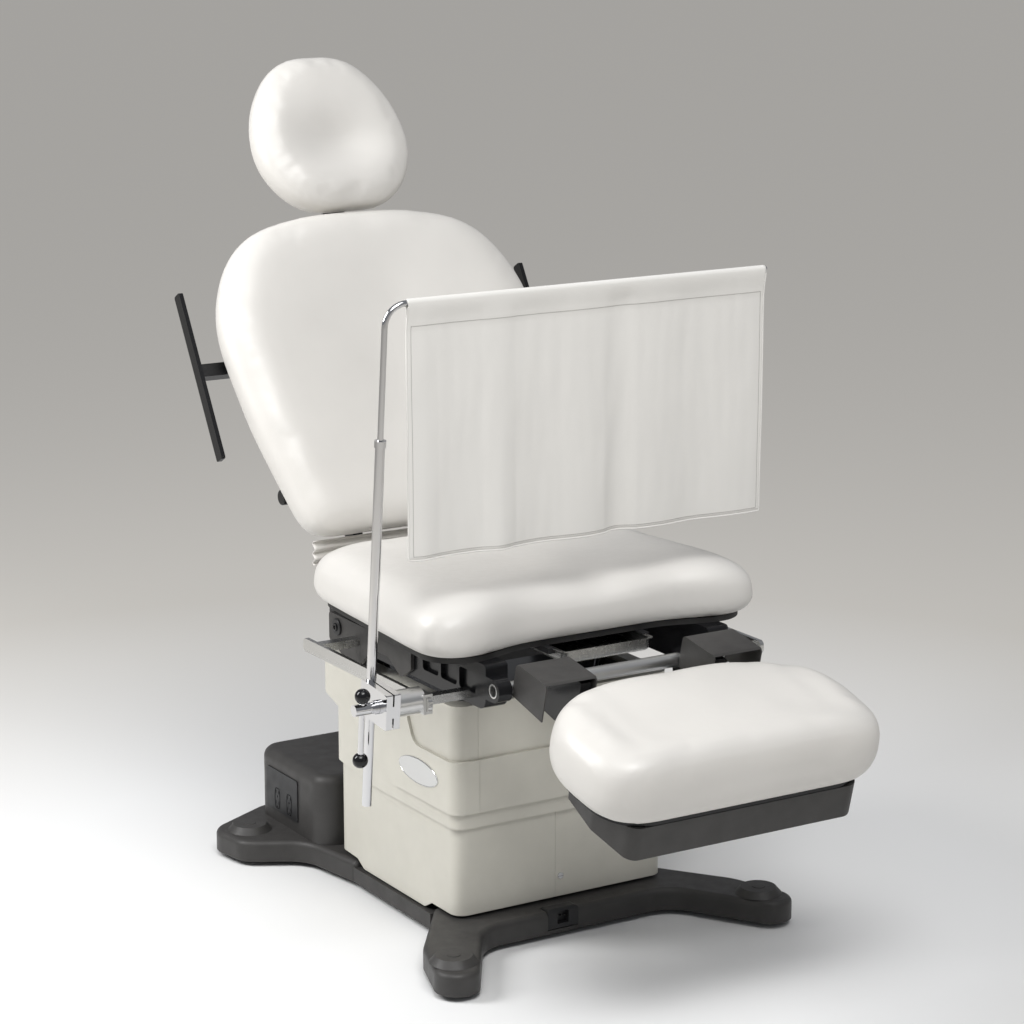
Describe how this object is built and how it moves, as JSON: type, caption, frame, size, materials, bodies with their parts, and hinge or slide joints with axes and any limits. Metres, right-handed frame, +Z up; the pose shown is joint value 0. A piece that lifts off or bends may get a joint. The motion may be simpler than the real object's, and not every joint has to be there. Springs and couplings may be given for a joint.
{
  "type": "procedure chair",
  "caption": "Powered procedure chair with tilting seat, reclining back, headrest, foot section with tray, pan, accessory rails and a clamped bar with a drape.",
  "frame": {"origin": "on the floor, under the middle of the whole outline", "axes": "+X to the sitter's left, +Y to the rear where the back is, +Z up"},
  "size_m": [1.0138, 1.8624, 1.7821],
  "materials": {
    "charcoal_plastic": "fine-textured charcoal moulding",
    "cream_cover": "smooth off-white cover, satin",
    "black_paint": "black powder coat on steel, semi-gloss",
    "vinyl": "light warm grey artificial leather over foam, finely grained",
    "backing_board": "plywood board painted matte black",
    "rail_steel": "brushed stainless steel",
    "column_aluminium": "satin anodised aluminium",
    "bright_chrome": "polished chrome plate",
    "black_plastic": "black technical plastic",
    "gloss_black": "polished black plastic knob",
    "foot_rubber": "black rubber pad",
    "drape_cloth": "off-white woven sheet with a sewn hem"
  },
  "bodies": {
    "base": {"base_plate": "black_paint", "front_base_cover": "charcoal_plastic", "rear_base_cover": "charcoal_plastic", "levelling_feet": "foot_rubber", "foot_caps": "charcoal_plastic", "control_socket": "black_plastic", "rear_housing": "charcoal_plastic", "outlet_panel": "black_plastic", "outlets": "black_plastic", "power_inlet": "black_plastic", "lower_cover_left": "cream_cover", "lower_cover_right": "cream_cover", "cover_screws": "bright_chrome", "column_lower": "column_aluminium"},
    "middle_stage": {"middle_cover": "cream_cover", "column_middle": "column_aluminium"},
    "carriage": {"column_upper": "column_aluminium", "carriage_plate": "black_paint", "upper_front_cover": "cream_cover", "upper_cover_left": "cream_cover", "upper_cover_right": "cream_cover", "badge_plate": "column_aluminium"},
    "seat": {"seat_frame": "black_paint", "hinge_pins": "bright_chrome", "side_plates": "charcoal_plastic", "pivot_caps": "black_plastic", "seat_rails": "rail_steel", "rail_standoffs": "rail_steel", "seat_board": "backing_board", "seat_cushion": "vinyl", "foot_hinge_tube": "column_aluminium", "pan_runners": "black_plastic", "back_actuator_body": "black_paint"},
    "back": {"back_cushion": "vinyl", "back_board": "backing_board", "back_arms": "black_paint", "back_cross_shaft": "black_paint", "back_rails": "black_paint", "fabric_flap": "vinyl", "headrest_guide": "black_paint"},
    "headrest_slider": {"headrest_bar": "bright_chrome"},
    "headrest": {"headrest_board": "backing_board", "headrest_cushion": "vinyl"},
    "foot_arm": {"foot_arms": "black_paint", "foot_arm_covers": "charcoal_plastic"},
    "foot_section": {"foot_board": "black_paint", "foot_cushion": "vinyl", "foot_tray": "charcoal_plastic"},
    "pan": {"treatment_pan": "rail_steel"},
    "rail_clamp": {"clamp_body": "column_aluminium"},
    "post_clamp": {"jaw_plates": "bright_chrome"},
    "post": {"drape_post": "bright_chrome"},
    "rod": {"drape_rod": "bright_chrome", "drape": "drape_cloth"},
    "clamp_spindle": {"clamp_screw": "bright_chrome"},
    "bar": {"tommy_bar": "bright_chrome", "ball_knobs": "gloss_black"},
    "tilt_cylinder": {"tilt_actuator_body": "black_paint"},
    "tilt_rod": {"tilt_actuator_rod": "bright_chrome"},
    "back_rod": {"back_actuator_rod": "bright_chrome"}
  },
  "joints": [
    {"name": "lift", "type": "slide", "parent": "base", "child": "carriage", "axis": [0, 0, 1], "range_m": [-0.2, 0]},
    {"name": "middle_lift", "type": "slide", "parent": "base", "child": "middle_stage", "axis": [0, 0, 1], "range_m": [-0.12, 0]},
    {"name": "seat_tilt", "type": "hinge", "parent": "carriage", "child": "seat", "pos_m": [0.05717, 0.21358, 0.617], "axis": [-1, 0, 0], "range_deg": [0, 15]},
    {"name": "back_recline", "type": "hinge", "parent": "seat", "child": "back", "pos_m": [0.05717, 0.31658, 0.7], "axis": [-1, 0, 0], "range_deg": [0, 59.5]},
    {"name": "headrest_extend", "type": "slide", "parent": "back", "child": "headrest_slider", "axis": [0, 0.5075, 0.8616], "range_m": [0, 0.12]},
    {"name": "headrest_tilt", "type": "hinge", "parent": "headrest_slider", "child": "headrest", "pos_m": [0.05717, 0.83868, 1.5232], "axis": [-1, 0, 0], "range_deg": [0, 30]},
    {"name": "foot_lift", "type": "hinge", "parent": "seat", "child": "foot_arm", "pos_m": [0.05717, -0.42742, 0.622], "axis": [-1, 0, 0], "range_deg": [-45, 14]},
    {"name": "foot_extend", "type": "slide", "parent": "foot_arm", "child": "foot_section", "axis": [0, -0.9703, -0.2419], "range_m": [0, 0.1]},
    {"name": "pan_slide", "type": "slide", "parent": "seat", "child": "pan", "axis": [0, -1, 0], "range_m": [0, 0.15]},
    {"name": "clamp_slide", "type": "slide", "parent": "seat", "child": "rail_clamp", "axis": [0, 1, 0], "range_m": [-0.01, 0.44]},
    {"name": "jaw_tilt", "type": "hinge", "parent": "rail_clamp", "child": "post_clamp", "pos_m": [-0.43283, -0.33342, 0.599], "axis": [1, 0, 0], "range_deg": [-15, 25]},
    {"name": "post_turn", "type": "hinge", "parent": "post_clamp", "child": "post", "pos_m": [-0.43888, -0.28066, 0.60399], "axis": [0, 0.0941, -0.9956], "range_deg": [0, 100]},
    {"name": "rod_slide", "type": "slide", "parent": "post", "child": "rod", "axis": [0, -0.0941, 0.9956], "range_m": [-0.05, 0.18]},
    {"name": "spindle_turn", "type": "hinge", "parent": "rail_clamp", "child": "clamp_spindle", "pos_m": [-0.48283, -0.33342, 0.599], "axis": [1, 0, 0], "continuous": true},
    {"name": "bar_slide", "type": "slide", "parent": "clamp_spindle", "child": "bar", "axis": [0, -0.0941, 0.9956], "range_m": [0, 0.08]},
    {"name": "tilt_actuator_swing", "type": "hinge", "parent": "carriage", "child": "tilt_cylinder", "pos_m": [0.22517, -0.03742, 0.33], "axis": [-1, 0, 0], "range_deg": [0, 4.75]},
    {"name": "tilt_actuator_stroke", "type": "slide", "parent": "tilt_cylinder", "child": "tilt_rod", "axis": [0, -0.3048, 0.9524], "range_m": [0, 0.085]},
    {"name": "back_actuator_stroke", "type": "slide", "parent": "seat", "child": "back_rod", "axis": [0, 1, 0], "range_m": [-0.104, 0]}
  ],
  "couplings": [
    {"joint": "middle_lift", "follows": "lift", "ratio": 0.6},
    {"joint": "tilt_actuator_swing", "follows": "seat_tilt", "ratio": 0.31081},
    {"joint": "tilt_actuator_stroke", "follows": "seat_tilt", "m_per_rad": 0.31864},
    {"joint": "back_actuator_stroke", "follows": "back_recline", "m_per_rad": -0.09907}
  ]
}
